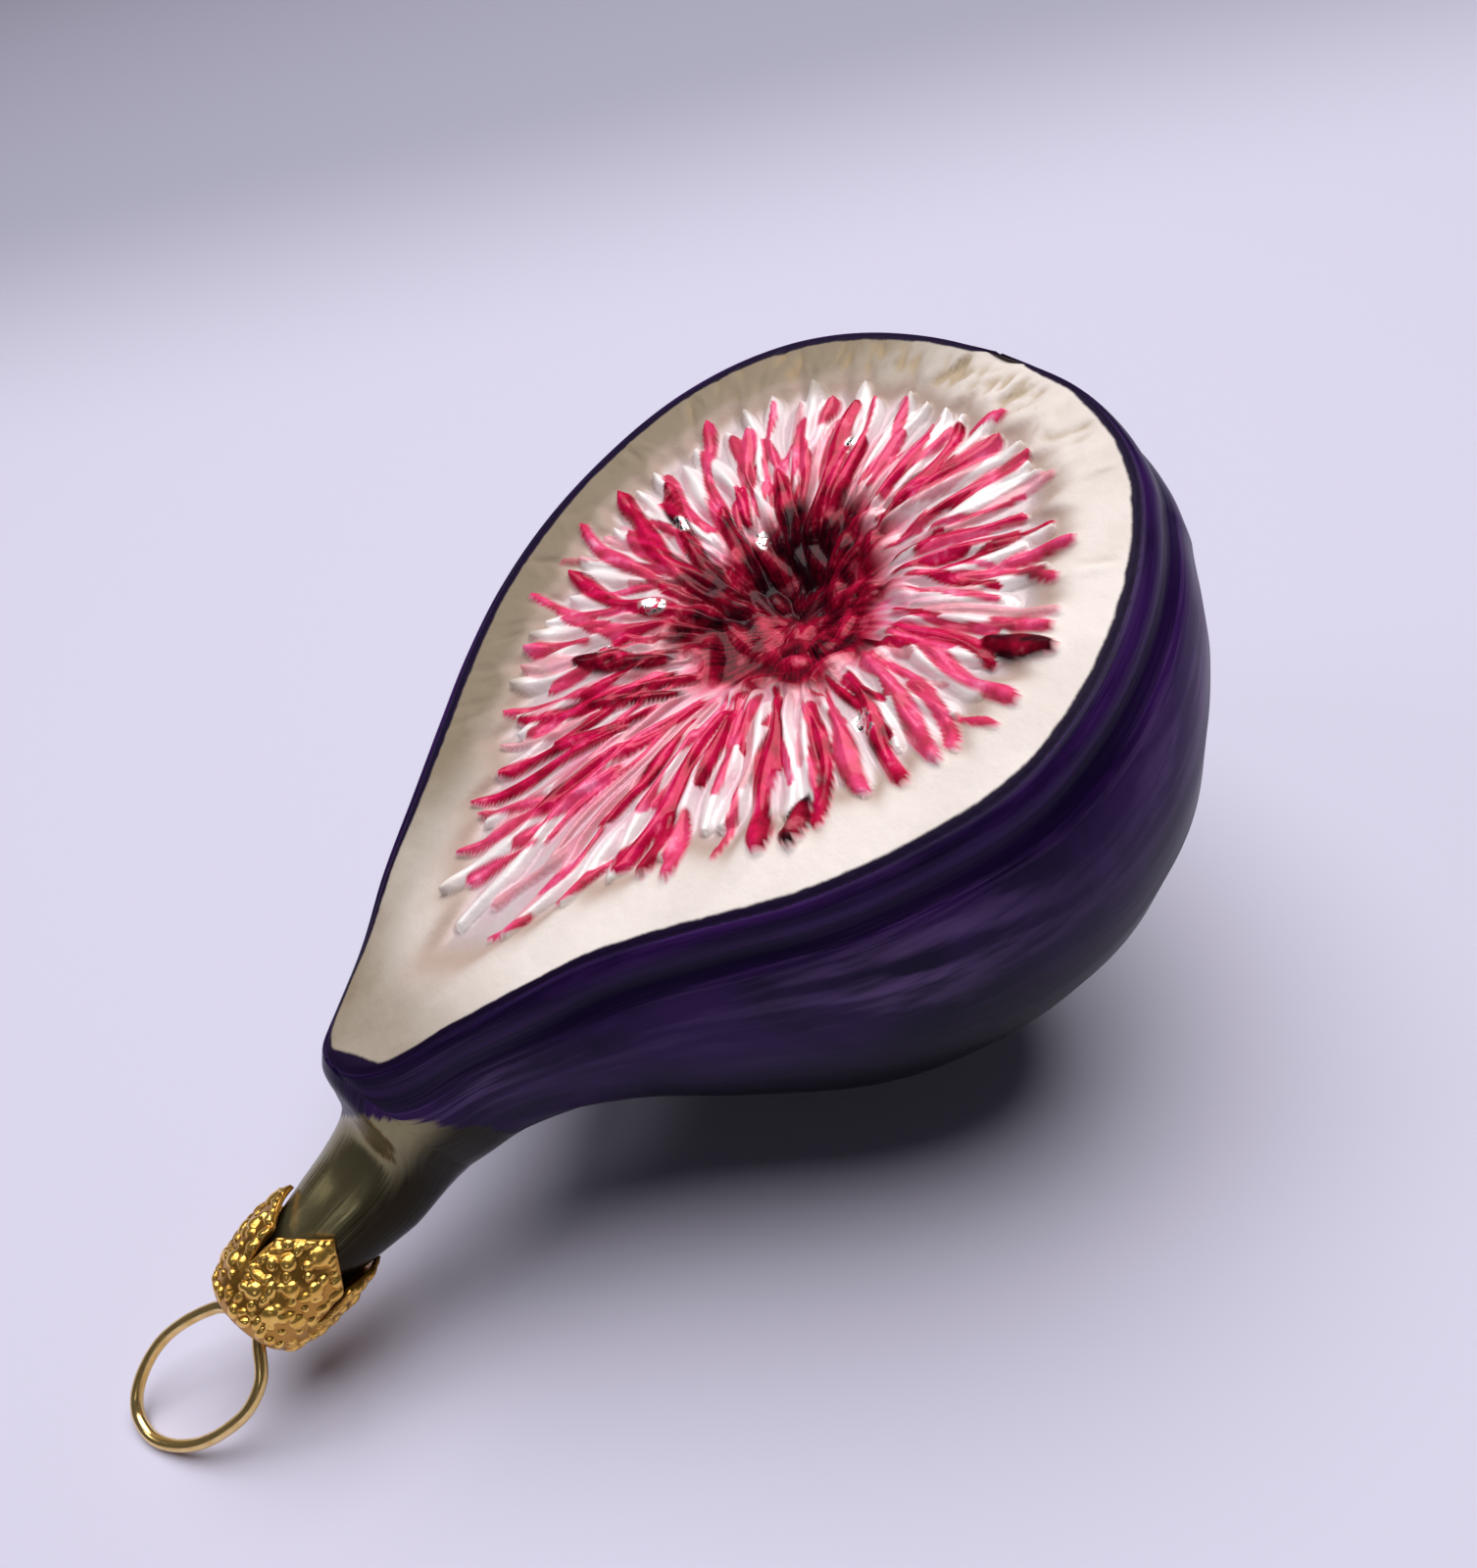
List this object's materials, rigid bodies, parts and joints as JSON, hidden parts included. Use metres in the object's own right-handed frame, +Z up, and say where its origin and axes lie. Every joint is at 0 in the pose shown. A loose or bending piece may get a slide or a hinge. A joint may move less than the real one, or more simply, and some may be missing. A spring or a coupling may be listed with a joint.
{
  "type": "glass fig ornament",
  "caption": "Hollow blown-glass hanging ornament shaped like a fig cut in half lengthwise, with a stamped metal cap and a wire hanging loop.",
  "frame": {"origin": "on the table at the middle of the bounding box, with the ornament lying on its belly", "axes": "+X from the hanging loop towards the fig's far end, +Z up, with the cut face on top and rising towards +X"},
  "size_m": [0.1076, 0.0674, 0.0549],
  "materials": {
    "lacquered_glass": "silvered blown glass, lacquered: dark purple skin, cream cut face, red and silver strands, olive bronze neck",
    "gilt_cap": "thin stamped sheet, bright gold, embossed with nuggets and beads",
    "gilt_wire": "polished gold spring wire"
  },
  "bodies": {
    "root": {"glass_fig": "lacquered_glass", "crown_cap": "gilt_cap", "wire_loop": "gilt_wire"}
  },
  "joints": []
}
